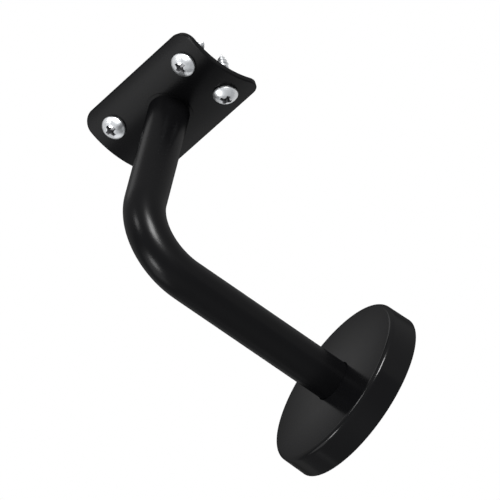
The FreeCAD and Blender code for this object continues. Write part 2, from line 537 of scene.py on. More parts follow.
@dataclass(frozen=True)
class SheetPlate:
    """A flat blank with round holes and rounded edges, pressed into place by a rule.

    Its two faces are triangulated on a fine lattice, so that it bends smoothly. A lattice row
    is row_share of a step high, and its points keep margin_share of a step from the edges.
    """

    name: str
    outline: Callable[[float], list[Point2]]
    holes: tuple[tuple[float, float, float], ...]
    thickness: float
    front_edge: float
    back_edge: float
    hole_edge: float
    lattice: float
    place: Callable[[float, float, float], Vector]
    edge_points: int = 5
    hole_sides: int = 48
    row_share: float = 0.866
    margin_share: float = 0.55
    rim_tolerance: float = 0.997

    def edge_profile(self, front: float, back: float) -> list[Point2]:
        """Rounds an edge from the front face to the back face.

        Args:
            front: radius at the front face.
            back: radius at the back face.

        Returns:
            (inset, depth) pairs.
        """
        profile = [(front * 2, 0.0)]
        profile += arc_points((front, front), front, 270, 180, self.edge_points)
        profile += arc_points((back, self.thickness - back), back, 180, 90, self.edge_points)
        profile.append((back * 2, self.thickness))
        return profile

    def hole_loop(self, hole: tuple[float, float, float], inset: float) -> list[Point2]:
        """Points round a hole, widened by an inset."""
        across, along, radius = hole
        return arc_points((across, along), radius + inset, 0, 360, self.hole_sides + 1)[:-1]

    def face(self, work: bmesh.types.BMesh, loops: list[list[Any]], depth: float) -> None:
        """Fills one face of the plate between its outline and its holes.

        Args:
            work: the mesh being built.
            loops: rings of points that bound the face, the outline first.
            depth: distance of the face behind the front face.
        """
        flat_key = work.verts.layers.float_vector[FLAT_LAYER]
        flat: list[Vector] = []
        known: list[Any] = []
        edges: list[tuple[int, int]] = []
        for loop in loops:
            first = len(flat)
            for step, vertex in enumerate(loop):
                flat.append(vertex[flat_key].to_2d())
                known.append(vertex)
                edges.append((first + step, first + (step + 1) % len(loop)))
        outline = flat[: len(loops[0])]
        for spot in self.lattice_points(outline):
            flat.append(Vector(spot))
        filled = delaunay_2d_cdt(flat, edges, [], 1, MERGE_DISTANCE)
        points, _edges, faces, origins = filled[:4]
        vertices = []
        for point, origin in zip(points, origins):
            if origin and origin[0] < len(known):
                vertices.append(known[origin[0]])
            else:
                vertices.append(work.verts.new(self.place(point.x, point.y, depth)))
        for corners in faces:
            middle = sum((points[index] for index in corners), Vector((0, 0))) / len(corners)
            if not self.in_hole(middle):
                work.faces.new([vertices[index] for index in corners])

    def in_hole(self, spot: Vector) -> bool:
        """Tells whether a flat point lies within the rim of one of the holes.

        Args:
            spot: the point.

        Returns:
            True if it does.
        """
        return any(
            math.hypot(spot.x - x, spot.y - y) < self.rim_tolerance * (radius + 2 * self.hole_edge)
            for x, y, radius in self.holes
        )

    def lattice_points(self, outline: Sequence[Vector]) -> list[Point2]:
        """Staggered points inside the face, clear of the outline and the holes.

        Args:
            outline: flat points of the face's outer ring.

        Returns:
            The points.
        """
        reach_x = max(point.x for point in outline)
        reach_y = max(point.y for point in outline)
        margin = self.lattice * self.margin_share
        inner = self.outline(3 * self.front_edge + margin)
        spots = []
        rows = int(reach_y / (self.lattice * self.row_share)) + 1
        columns = int(reach_x / self.lattice) + 1
        for row in range(-rows, rows + 1):
            for column in range(-columns, columns + 1):
                x = (column + 0.5 * (row % 2)) * self.lattice
                y = row * self.lattice * self.row_share
                clear = all(
                    math.hypot(x - hx, y - hy) > radius + 2 * self.hole_edge + margin
                    for hx, hy, radius in self.holes
                )
                if clear and inside(x, y, inner):
                    spots.append((x, y))
        return spots

    def ring(self, work: bmesh.types.BMesh, loop: list[Point2], depth: float) -> list[Any]:
        """Adds one ring of points at a depth and keeps their flat places.

        Args:
            work: the mesh being built.
            loop: flat points of the ring.
            depth: distance of the ring behind the front face.

        Returns:
            The new points.
        """
        key = work.verts.layers.float_vector[FLAT_LAYER]
        vertices = []
        for x, y in loop:
            vertex = work.verts.new(self.place(x, y, depth))
            vertex[key] = (x, y, depth)
            vertices.append(vertex)
        return vertices

    def mesh(self) -> bpy.types.Mesh:
        """Builds the plate's closed mesh.

        Returns:
            The mesh.
        """
        work = bmesh.new()
        work.verts.layers.float_vector.new(FLAT_LAYER)
        fronts = []
        backs = []
        rims = [(self.outline, self.front_edge, self.back_edge)]
        for hole in self.holes:
            rims.append((partial(self.hole_loop, hole), self.hole_edge, self.hole_edge))
        for loop_at, front, back in rims:
            profile = self.edge_profile(front, back)
            rings = [self.ring(work, loop_at(inset), depth) for inset, depth in profile]
            for first, second in zip(rings, rings[1:]):
                bridge(work, first, second)
            fronts.append(rings[0])
            backs.append(rings[-1])
        self.face(work, fronts, 0.0)
        self.face(work, backs, self.thickness)
        work.verts.layers.float_vector.remove(work.verts.layers.float_vector[FLAT_LAYER])
        mesh = bpy.data.meshes.new(self.name)
        work.to_mesh(mesh)
        work.free()
        face_outwards(mesh)
        smooth(mesh)
        return mesh


def inside(x: float, y: float, outline: Sequence[Point2]) -> bool:
    """Tells whether a point lies inside a closed outline.

    Args:
        x: the point's first coordinate.
        y: its second coordinate.
        outline: points of the outline in order.

    Returns:
        True if it does.
    """
    within = False
    for (ax, ay), (bx, by) in zip(outline, [*outline[1:], outline[0]]):
        if (ay > y) != (by > y) and x < ax + (bx - ax) * (y - ay) / (by - ay):
            within = not within
    return within


# ---------------------------------------------------------------- geometry trees


class GeometryTree:
    """A geometry node tree with named inputs."""

    def __init__(self, name: str, inputs: Mapping[str, float]) -> None:
        """Makes the tree, its inputs with their values, and its output.

        Args:
            name: the tree's name.
            inputs: input names with their values.
        """
        self.tree = bpy.data.node_groups.new(name, "GeometryNodeTree")
        face = self.tree.interface
        face.new_socket(name="Geometry", in_out="INPUT", socket_type="NodeSocketGeometry")
        self.sizes = dict(inputs)
        self.keys: dict[str, str] = {}
        for key in inputs:
            socket = face.new_socket(name=key, in_out="INPUT", socket_type="NodeSocketFloat")
            self.keys[key] = socket.identifier
        face.new_socket(name="Geometry", in_out="OUTPUT", socket_type="NodeSocketGeometry")
        self.graph = Graph(self.tree)
        self.entry = self.graph.node("NodeGroupInput")

    def size(self, key: str) -> Value:
        """A named input as a value for arithmetic."""
        return self.graph.value(self.entry, key)

    def vector(self, x: Any, y: Any, z: Any) -> bpy.types.NodeSocket:
        """A vector from three values or numbers."""
        return self.graph.node("ShaderNodeCombineXYZ", None, {0: x, 1: y, 2: z}).outputs[0]

    def place(self) -> tuple[Value, Value, Value]:
        """The three coordinates of each point.

        Returns:
            X, Y and Z as values.
        """
        here = self.graph.node("GeometryNodeInputPosition").outputs[0]
        split = self.graph.node("ShaderNodeSeparateXYZ", None, {0: here})
        return tuple(self.graph.value(split, index) for index in range(3))

    def move(self, geometry: bpy.types.NodeSocket, target: Any) -> bpy.types.NodeSocket:
        """Puts every point of a geometry at a worked out position."""
        inputs = {"Geometry": geometry, "Position": target}
        return self.graph.node("GeometryNodeSetPosition", None, inputs).outputs[0]

    def turned(self, geometry: bpy.types.NodeSocket, **changes: Any) -> bpy.types.NodeSocket:
        """Moves, turns or stretches a whole geometry by Translation, Rotation or Scale."""
        inputs = {"Geometry": geometry, **changes}
        return self.graph.node("GeometryNodeTransform", None, inputs).outputs[0]

    def cone(self, sides: int, top: Any, bottom: Any, depth: Any) -> bpy.types.NodeSocket:
        """A closed cone or pyramid on the origin, from the radii of its top and its foot."""
        inputs = {"Vertices": sides, "Radius Top": top, "Radius Bottom": bottom, "Depth": depth}
        return self.graph.node("GeometryNodeMeshCone", {"fill_type": "NGON"}, inputs).outputs[0]

    def finish(self, geometry: bpy.types.NodeSocket, material: bpy.types.Material) -> None:
        """Ends the tree with its instances made real and its material set.

        Args:
            geometry: what the tree has made.
            material: the material of every face.
        """
        real = self.graph.node("GeometryNodeRealizeInstances", None, {"Geometry": geometry})
        inputs = {"Geometry": real.outputs[0], "Material": material}
        dressed = self.graph.node("GeometryNodeSetMaterial", None, inputs)
        self.graph.node("NodeGroupOutput", None, {0: dressed.outputs[0]})

    def plain_mesh(self, name: str, start: bpy.types.Mesh) -> bpy.types.Mesh:
        """Runs the tree on a mesh and keeps the result as a plain mesh.

        Args:
            name: name of the result.
            start: the mesh that the tree is given.

        Returns:
            The new mesh.
        """
        holder = mesh_object(name + "_holder", start)
        modifier = holder.modifiers.new(name, "NODES")
        modifier.node_group = self.tree
        for key, number in self.sizes.items():
            modifier[self.keys[key]] = float(number)
        bpy.context.view_layer.update()
        evaluated = holder.evaluated_get(bpy.context.evaluated_depsgraph_get())
        mesh = bpy.data.meshes.new_from_object(evaluated)
        mesh.name = name
        holder.modifiers.remove(modifier)
        bpy.data.objects.remove(holder)
        return mesh


def dress(piece: bpy.types.Object, slot: str, *nodes: str) -> None:
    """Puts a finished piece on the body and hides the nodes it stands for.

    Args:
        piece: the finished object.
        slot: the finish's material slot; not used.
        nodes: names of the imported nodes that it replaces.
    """
    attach(piece, ROOT_BODY)
    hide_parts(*nodes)
    LOG.info("%s stands for %s, %d faces", piece.name, ", ".join(nodes), len(piece.data.polygons))


# ---------------------------------------------------------------- sub-assemblies


@dataclass
class Arm:
    """The bent tube, with the weld bead at its coped end.

    The bead's sizes from crown_radius on are shares of its leg, and crown_tilt is in degrees.
    """

    radius: float
    reach: float
    rise: float
    start: float
    saddle_radius: float
    wall: float = 1.5 * MM
    bend_radius: float = 24.5 * MM
    bend_steps: int = 48
    round_steps: int = 96
    weld_leg: float = 1.2 * MM
    weld_steps: int = 300
    weld_ripples: int = 46
    weld_ripple_height: float = 0.07 * MM
    crown_tilt: float = 11.4
    crown_points: int = 9
    crown_radius: float = 1.27
    crown_set_in: float = 0.25
    weld_sunk: float = 0.2

    @classmethod
    def from_frame(cls, saddle_radius: float) -> "Arm":
        """Reads the tube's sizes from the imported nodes.

        Args:
            saddle_radius: radius of the saddle's outer face, which the tube is coped to.

        Returns:
            The arm.
        """
        low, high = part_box("arm_tube")
        saddle_low, _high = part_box("saddle_plate")
        return cls(
            radius=high.x,
            reach=-low.y - high.x,
            rise=saddle_low.z,
            start=high.y,
            saddle_radius=saddle_radius,
        )

    def saddle_height(self, tree: GeometryTree, along: Value, offset: float = 0.0) -> Value:
        """Height of the saddle's outer face over a place along the arm's Y axis.

        Args:
            tree: the tree that the value is for.
            along: Y coordinate of the place.
            offset: distance outside the saddle's face.

        Returns:
            The height.
        """
        radius = tree.size("Saddle radius") + offset
        across = along + tree.size("Reach")
        drop = (radius * radius - across * across).root()
        return tree.size("Rise") + tree.size("Saddle radius") - drop

    def tree_sizes(self) -> dict[str, float]:
        """Named inputs that the arm's trees share.

        Returns:
            Input names with their values.
        """
        return {
            "Tube radius": self.radius,
            "Saddle radius": self.saddle_radius,
            "Reach": self.reach,
            "Rise": self.rise,
        }

    def tube_mesh(self, material: bpy.types.Material) -> bpy.types.Mesh:
        """Sweeps a circle along the filleted path and copes its upper end to the saddle.

        Args:
            material: the material of the tube's faces.

        Returns:
            The mesh of the tube's outside.
        """
        sizes = {**self.tree_sizes(), "Bend radius": self.bend_radius}
        tree = GeometryTree("bent_tube", sizes)
        graph = tree.graph
        path = graph.node("GeometryNodeMeshToCurve", None, {"Mesh": tree.entry.outputs[0]})
        bend_radius = tree.size("Bend radius")
        inputs = {"Curve": path.outputs[0], "Count": self.bend_steps, "Radius": bend_radius}
        bent = graph.node("GeometryNodeFilletCurve", {"mode": "POLY"}, inputs).outputs[0]
        ring_inputs = {"Resolution": self.round_steps, "Radius": tree.size("Tube radius")}
        ring = graph.node("GeometryNodeCurvePrimitiveCircle", {"mode": "RADIUS"}, ring_inputs)
        inputs = {"Curve": bent, "Profile Curve": ring.outputs[0]}
        swept = graph.node("GeometryNodeCurveToMesh", None, inputs)
        x, y, z = tree.place()
        coped = z.at_most(self.saddle_height(tree, y))
        shaped = tree.move(swept.outputs[0], tree.vector(x, y, coped))
        tree.finish(shaped, material)
        route = bpy.data.meshes.new("arm_route")
        top = self.rise + self.radius
        corners = [(0, self.start, 0), (0, -self.reach, 0), (0, -self.reach, top)]
        route.from_pydata(corners, [(0, 1), (1, 2)], [])
        return tree.plain_mesh("arm_tube_skin", route)

    def build_tube(self, finish: PowderCoat, material: bpy.types.Material) -> None:
        """Builds the hollow tube and puts it in place of its node.

        Args:
            finish: the tube's finish.
            material: the finish's material.
        """
        piece = mesh_object("arm_tube_coated", self.tube_mesh(material))
        face_outwards(piece.data)
        wall = piece.modifiers.new("wall", "SOLIDIFY")
        wall.thickness = self.wall
        wall.offset = -1.0
        bpy.context.view_layer.update()
        evaluated = piece.evaluated_get(bpy.context.evaluated_depsgraph_get())
        hollow = bpy.data.meshes.new_from_object(evaluated)
        piece.modifiers.remove(wall)
        piece.data = hollow
        face_outwards(hollow)
        smooth(hollow)
        dress(piece, finish.slot, "arm_tube")

    def bead_section(self) -> bpy.types.Mesh:
        """Section of the weld bead: square to the tube and the saddle, with a crowned face.

        Returns:
            A mesh of the section's outline, in the XY plane.
        """
        leg = self.weld_leg
        centre = -self.crown_set_in * leg
        sunk = -self.weld_sunk * leg
        turns = (self.crown_tilt, 90 - self.crown_tilt)
        crown = arc_points((centre, centre), self.crown_radius * leg, *turns, self.crown_points)
        corners = [(sunk, sunk), (leg, sunk), *crown, (sunk, leg)]
        edges = [(index, (index + 1) % len(corners)) for index in range(len(corners))]
        section = bpy.data.meshes.new("bead_section")
        section.from_pydata([(x, y, 0) for x, y in corners], edges, [])
        return section

    def build_weld(self, finish: PowderCoat, material: bpy.types.Material) -> None:
        """Lays a rippled bead along the line where the tube meets the saddle.

        Args:
            finish: the bead's finish.
            material: the finish's material.
        """
        sizes = {
            **self.tree_sizes(),
            "Ripples": self.weld_ripples,
            "Ripple height": self.weld_ripple_height,
        }
        tree = GeometryTree("weld_bead", sizes)
        graph = tree.graph
        ring_inputs = {"Resolution": self.weld_steps, "Radius": tree.size("Tube radius")}
        ring = graph.node("GeometryNodeCurvePrimitiveCircle", {"mode": "RADIUS"}, ring_inputs)
        section = graph.node("GeometryNodeMeshToCurve", None, {"Mesh": tree.entry.outputs[0]})
        inputs = {"Curve": ring.outputs[0], "Profile Curve": section.outputs[0]}
        bead = graph.node("GeometryNodeCurveToMesh", None, inputs)
        x, y, z = tree.place()
        turn = x.math("ARCTAN2", y, x)
        distance = (x * x + y * y).root()
        outside = (distance - tree.size("Tube radius")).at_least(0.0)
        wave = (turn * tree.size("Ripples")).sine() * tree.size("Ripple height")
        swell = 1.0 + wave * outside / (self.weld_leg * self.weld_leg)
        along = y - tree.size("Reach")
        height = self.saddle_height(tree, along) - z * swell
        target = tree.vector(x * (1.0 + wave * outside / self.weld_leg), along, height)
        tree.finish(tree.move(bead.outputs[0], target), material)
        mesh = tree.plain_mesh("saddle_weld_bead", self.bead_section())
        face_outwards(mesh)
        smooth(mesh)
        dress(mesh_object("saddle_weld_bead", mesh), finish.slot, "saddle_weld")


@dataclass
class Saddle:
    """The rolled plate under the rail."""

    half_length: float
    reach: float
    rise: float
    thickness: float = 2.0 * MM
    rail_radius: float = 31.3 * MM
    width: float = 39.0 * MM
    corner_radius: float = 6.5 * MM
    edge_radius: float = 0.4 * MM
    back_edge_radius: float = 0.15 * MM
    hole_radius: float = 3.75 * MM
    hole_from_end: float = 10.25 * MM
    hole_from_side: float = 9.5 * MM
    hole_edge: float = 0.2 * MM
    lattice: float = 1.1 * MM
    corner_points: int = 17
    side_steps: int = 30

    @classmethod
    def from_frame(cls) -> "Saddle":
        """Reads the plate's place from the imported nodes."""
        low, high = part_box("saddle_plate")
        return cls(half_length=high.x, reach=-(low.y + high.y) / 2, rise=low.z)

    @property
    def outer_radius(self) -> float:
        """Radius of the plate's outer face."""
        return self.rail_radius + self.thickness

    def flat(self, across: float) -> float:
        """Length along the curved outer face for a straight distance across it."""
        return self.outer_radius * math.asin(across / self.outer_radius)

    def outline(self, inset: float) -> list[Point2]:
        """Rounded rectangle of the flat blank.

        Args:
            inset: distance that it is moved in by.

        Returns:
            Its points in order.
        """
        radius = self.corner_radius - inset
        centre_x = self.half_length - self.corner_radius
        centre_y = self.flat(self.width / 2) - self.corner_radius
        loop: list[Point2] = []
        for quarter, (side_x, side_y) in enumerate(((1, 1), (-1, 1), (-1, -1), (1, -1))):
            centre = (side_x * centre_x, side_y * centre_y)
            start = 90 * quarter
            corner = arc_points(centre, radius, start, start + 90, self.corner_points)
            if loop:
                loop += between(loop[-1], corner[0], self.side_steps)
            loop += corner
        return loop + between(loop[-1], loop[0], self.side_steps)

    def place(self, x: float, y: float, depth: float) -> Vector:
        """Rolls a point of the flat blank onto the saddle's curve.

        Args:
            x: place along the rail.
            y: place across the rail, on the flat blank.
            depth: distance behind the outer face.

        Returns:
            The point.
        """
        turn = y / self.outer_radius
        radius = self.outer_radius - depth
        centre = self.rise + self.outer_radius
        return Vector((x, radius * math.sin(turn) - self.reach, centre - radius * math.cos(turn)))

    def seats(self) -> list[tuple[Point2, str]]:
        """Holes of the plate.

        Returns:
            Flat place of each hole with the name of its screw.
        """
        across = self.flat(self.width / 2 - self.hole_from_side)
        along = self.half_length - self.hole_from_end
        found = []
        for side, y in (("front", -across), ("rear", across)):
            for hand, x in (("left", -along), ("right", along)):
                found.append(((x, y), f"rail_screw_{side}_{hand}"))
        return found

    def build(self, finish: PowderCoat, material: bpy.types.Material) -> None:
        """Builds the plate and puts it in place of its node.

        Args:
            finish: the plate's finish.
            material: the finish's material.
        """
        plate = SheetPlate(
            name="saddle_plate_coated",
            outline=self.outline,
            holes=tuple((x, y, self.hole_radius) for (x, y), _name in self.seats()),
            thickness=self.thickness,
            front_edge=self.edge_radius,
            back_edge=self.back_edge_radius,
            hole_edge=self.hole_edge,
            lattice=self.lattice,
            place=self.place,
        )
        mesh = plate.mesh()
        mesh.materials.append(material)
        dress(mesh_object(plate.name, mesh), finish.slot, "saddle_plate")


def between(first: Point2, second: Point2, steps: int) -> list[Point2]:
    """Points on a straight line, without its two ends.

    Args:
        first: the line's start.
        second: its end.
        steps: number of equal steps.

    Returns:
        The points in order.
    """
    points = []
    for index in range(1, steps):
        share = index / steps
        x = first[0] + (second[0] - first[0]) * share
        y = first[1] + (second[1] - first[1]) * share
        points.append((x, y))
    return points


def about_arm(radius: float, along: float, turn: float) -> Vector:
    """Point at a radius from the arm's axis, at a distance out from the wall and a turn."""
    return Vector((radius * math.cos(turn), -along, radius * math.sin(turn)))


@dataclass
class WallMount:
    """The wall plate and the pressed cap that covers it.

    The cap's draft is in degrees. Its face has the rings of points in face_rings.
    """

    cap_radius: float
    cap_height: float
    plate_radius: float
    plate_thickness: float
    arm_radius: float
    cap_sheet: float = 1.2 * MM
    cap_draft: float = 1.5
    cap_edge_radius: float = 1.8 * MM
    cap_arm_clearance: float = 0.25 * MM
    rim_edge_radius: float = 0.25 * MM
    face_rings: tuple[float, ...] = (14.0 * MM, 20.0 * MM, 26.0 * MM, 30.0 * MM)
    ring_gap: float = 0.3 * MM
    outer_edge_points: int = 13
    inner_edge_points: int = 7
    rim_points: int = 5
    lip_points: int = 4
    plate_edge: float = 0.6 * MM
    plate_back_edge: float = 0.3 * MM
    plate_sides: int = 144
    plate_lattice: float = 3.0 * MM
    hole_circle: float = 23.0 * MM
    hole_radius: float = 2.75 * MM
    hole_edge: float = 0.25 * MM
    hole_count: int = 3
    segments: int = 240

    @classmethod
    def from_frame(cls, arm_radius: float) -> "WallMount":
        """Reads the mount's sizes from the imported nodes.

        Args:
            arm_radius: radius of the tube that the cap slides on.

        Returns:
            The wall mount.
        """
        cap_low, cap_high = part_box("cover_cap")
        plate_low, plate_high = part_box("wall_plate")
        return cls(
            cap_radius=(cap_high.z - cap_low.z) / 2,
            cap_height=-cap_low.y,
            plate_radius=(plate_high.z - plate_low.z) / 2,
            plate_thickness=-plate_low.y,
            arm_radius=arm_radius,
        )

    def cap_section(self) -> list[Point2]:
        """Closed section of the cap, from its face over its rim and back up its inside.

        Returns:
            (radius, distance out from the wall) pairs.
        """
        draft = math.radians(self.cap_draft)
        slope = math.tan(draft)
        height = self.cap_height
        hole = self.arm_radius + self.cap_arm_clearance
        outer_edge = self.cap_edge_radius
        inner_edge = outer_edge - self.cap_sheet
        rim = self.rim_edge_radius
        section = [(hole + rim * 2, height)]
        section += [(radius, height) for radius in self.face_rings]
        shoulder = self.cap_radius - height * slope
        reach = outer_edge * (1 - math.sin(draft)) / math.cos(draft)
        centre = (shoulder - reach, height - outer_edge)
        section.append((centre[0] - self.ring_gap, height))
        section += arc_points(centre, outer_edge, 90, self.cap_draft, self.outer_edge_points)
        side_top = height - outer_edge - self.ring_gap
        section.append((self.cap_radius - side_top * slope, side_top))
        section.append((self.cap_radius - 2 * rim * slope, 2 * rim))
        section += arc_points((self.cap_radius - rim, rim), rim, 0, -90, self.rim_points)
        inner = self.cap_radius - self.cap_sheet
        section += arc_points((inner + rim, rim), rim, 270, 180, self.rim_points)
        inner_height = height - self.cap_sheet
        inner_shoulder = inner - inner_height * slope
        inner_centre = (inner_shoulder - inner_edge, inner_height - inner_edge)
        turns = (self.cap_draft, 90)
        section += arc_points(inner_centre, inner_edge, *turns, self.inner_edge_points)
        lip = hole + rim
        section.append((lip, inner_height))
        section += arc_points((lip, inner_height + rim), rim, 270, 180, self.lip_points)
        section += arc_points((lip, height - rim), rim, 180, 90, self.lip_points)
        return section

    def build_cap(self, finish: PowderCoat, material: bpy.types.Material) -> None:
        """Turns the cap and puts it in place of its node.

        Args:
            finish: the cap's finish.
            material: the finish's material.
        """
        mesh = lathe("cover_cap_coated", self.cap_section(), self.segments, about_arm, closed=True)
        face_outwards(mesh)
        smooth(mesh)
        mesh.materials.append(material)
        dress(mesh_object("cover_cap_coated", mesh), finish.slot, "cover_cap")

    def plate_outline(self, inset: float) -> list[Point2]:
        """Circle of the wall plate, moved in by an inset."""
        return arc_points((0, 0), self.plate_radius - inset, 0, 360, self.plate_sides + 1)[:-1]

    def stand_up(self, x: float, y: float, depth: float) -> Vector:
        """Stands a point of the flat wall plate up against the wall."""
        return Vector((x, depth - self.plate_thickness, y))

    def build_plate(self, finish: PowderCoat, material: bpy.types.Material) -> None:
        """Builds the wall plate with its screw holes and puts it in place of its node.

        Args:
            finish: the plate's finish.
            material: the finish's material.
        """
        holes = []
        for index in range(self.hole_count):
            turn = math.radians(90 + 360 * index / self.hole_count)
            x = self.hole_circle * math.cos(turn)
            y = self.hole_circle * math.sin(turn)
            holes.append((x, y, self.hole_radius))
        plate = SheetPlate(
            name="wall_plate_coated",
            outline=self.plate_outline,
            holes=tuple(holes),
            thickness=self.plate_thickness,
            front_edge=self.plate_edge,
            back_edge=self.plate_back_edge,
            hole_edge=self.hole_edge,
            lattice=self.plate_lattice,
            place=self.stand_up,
        )
        mesh = plate.mesh()
        mesh.materials.append(material)
        dress(mesh_object(plate.name, mesh), finish.slot, "wall_plate")


@dataclass
class RailScrews:
    """Four pan head screws with threaded shanks and cross recesses.

    The ridge's share is half its width in pitches, and the powers shape the point and the
    ridge. The recess's floor keeps floor_share of its width at the top, and the cutter stands
    proud of the crown by cutter_over. The bulge of the head's side and the turns of the four
    crosses are in degrees.
    """

    saddle: Saddle
    head_radius: float = 4.75 * MM
    head_height: float = 3.7 * MM
    head_side: float = 0.9 * MM
    head_edge: float = 0.22 * MM
    neck_radius: float = 0.3 * MM
    core_radius: float = 1.75 * MM
    thread_radius: float = 2.4 * MM
    thread_start: float = 1.2 * MM
    thread_fade: float = 1.9
    ridge_share: float = 0.27
    ridge_power: float = 1.15
    pitch: float = 1.6 * MM
    length: float = 19.0 * MM
    point_length: float = 5.0 * MM
    point_power: float = 0.85
    recess_span: float = 5.2 * MM
    recess_wing: float = 1.5 * MM
    recess_depth: float = 2.6 * MM
    recess_flare: float = 3.0 * MM
    floor_share: float = 0.45
    cutter_over: float = 0.4 * MM
    well_sides: int = 20
    crown_points: int = 22
    side_points: int = 3
    edge_points: int = 5
    side_bulge: float = 20.0
    segments: int = 72
    rows_a_turn: int = 14
    merge: float = 3e-6
    turns: tuple[float, ...] = (6.0, -4.0, 21.0, -11.0)

    def head_section(self) -> list[Point2]:
        """Section of the head from its crown to the shank.

        Returns:
            (radius, distance from the seat) pairs, with the crown at a negative distance.
        """
        rise = self.head_height - self.head_side
        dome = (self.head_radius**2 + rise**2) / (2 * rise)
        half = math.degrees(math.asin(self.head_radius / dome))
        centre = (0.0, dome - self.head_height)
        edge = self.head_edge
        neck = self.neck_radius
        foot = self.core_radius + neck
        section = [(0.0, -self.head_height)]
        section += arc_points(centre, dome, 270.0, 270.0 + half, self.crown_points)[1:-1]
        side = self.head_radius - edge
        bulge = (-self.side_bulge, 0.0)
        section += arc_points((side, -self.head_side), edge, *bulge, self.side_points)
        section += arc_points((side, -edge), edge, 0, 90, self.edge_points)
        section.append((foot, 0.0))
        section += arc_points((foot, neck), neck, 270, 180, self.edge_points)[1:]
        return section

    def shank_radius(self, along: float, turn: float) -> float:
        """Radius of the threaded shank at a distance below the head and a turn.

        Args:
            along: distance below the head's seat.
            turn: turn about the screw's axis, in radians.

        Returns:
            The radius.
        """
        taper = min(1.0, max(0.0, (self.length - along) / self.point_length))
        body = self.core_radius * taper**self.point_power
        phase = (along / self.pitch - turn / (2 * math.pi)) % 1.0
        ridge = max(0.0, 1.0 - abs(phase - 0.5) / self.ridge_share)
        runout = min(1.0, max(0.0, (along - self.thread_start) / self.pitch))
        fade = min(1.0, taper * self.thread_fade) * runout
        return body + (self.thread_radius - self.core_radius) * fade * ridge**self.ridge_power

    def blank_mesh(self) -> bpy.types.Mesh:
        """Builds one screw without its recess: seat at the origin, point along +Z.

        Returns:
            The mesh.
        """
        head = self.head_section()
        rows = int(self.length / self.pitch * self.rows_a_turn)
        start = head[-1][1]
        shank = []
        for row in range(1, rows):
            shank.append((self.core_radius, start + (self.length - start) * row / rows))

        def place(radius: float, along: float, turn: float) -> Vector:
            """Raises the thread on the shank.

            Args:
                radius: radius in the section.
                along: distance from the seat.
                turn: turn about the screw's axis, in radians.

            Returns:
                The point.
            """
            if along > start + MERGE_DISTANCE and radius > 0:
                radius = self.shank_radius(along, turn)
            return Vector((radius * math.cos(turn), radius * math.sin(turn), along))

        section = head + shank + [(0.0, self.length)]
        mesh = lathe("screw_blank", section, self.segments, place, closed=False)
        face_outwards(mesh)
        smooth(mesh)
        return mesh

    def cutter(self, tree: GeometryTree) -> bpy.types.NodeSocket:
        """Two crossed bars and the well between them, tapered to the recess's floor.

        Args:
            tree: the tree that they are made in.

        Returns:
            The joined geometry.
        """
        span = tree.size("Recess span")
        flare = tree.size("Recess flare")
        over = self.cutter_over
        depth = tree.size("Recess depth") + over
        top = span * (1.0 + (1.0 - self.floor_share) * over / self.recess_depth)
        lift = tree.vector(0.0, 0.0, -over - self.head_height)
        corner = math.sqrt(0.5)
        square = tree.cone(4, span * (self.floor_share * corner), top * corner, depth)
        square = tree.turned(square, Rotation=(0, 0, math.radians(45)))
        bar = tree.turned(square, Scale=tree.vector(1.0, tree.size("Recess wing") / span, 1.0))
        well_top, well_foot = flare * (self.floor_share / 2), flare * (top / span / 2)
        well = tree.cone(self.well_sides, well_top, well_foot, depth)
        parts = [(bar, 0.0), (bar, 90.0), (well, 0.0)]
        joined = tree.graph.node("GeometryNodeJoinGeometry")
        for part, turn in parts:
            placed = tree.turned(part, Translation=lift, Rotation=(0, 0, math.radians(turn)))
            tree.graph.fill(joined.inputs[0], placed)
        return joined.outputs[0]

    def marked(
        self, tree: GeometryTree, geometry: bpy.types.NodeSocket, mark: float
    ) -> bpy.types.NodeSocket:
        """Stores the recess attribute on the faces of a geometry.

        Args:
            tree: the tree that the geometry is in.
            geometry: the geometry.
            mark: 1 in the recess and 0 elsewhere.

        Returns:
            The marked geometry.
        """
        settings = {"data_type": "FLOAT", "domain": "FACE"}
        inputs = {"Geometry": geometry, "Name": RECESS_ATTRIBUTE, "Value": mark}
        return tree.graph.node("GeometryNodeStoreNamedAttribute", settings, inputs).outputs[0]

    def seat_mesh(self) -> bpy.types.Mesh:
        """One point for each screw, with the turns that stand it square to the saddle.

        Returns:
            A mesh of points with the turn attribute.
        """
        points = []
        turns = []
        for ((x, y), _name), spin in zip(self.saddle.seats(), self.turns):
            points.append(self.saddle.place(x, y, 0.0))
            tilt = Matrix.Rotation(y / self.saddle.outer_radius, 3, "X")
            turns.append((tilt @ Matrix.Rotation(math.radians(spin), 3, "Z")).to_euler())
        mesh = bpy.data.meshes.new("screw_seats")
        mesh.from_pydata(points, [], [])
        attribute = mesh.attributes.new(TURN_ATTRIBUTE, "FLOAT_VECTOR", "POINT")
        for item, euler in zip(attribute.data, turns):
            item.vector = tuple(euler)
        return mesh

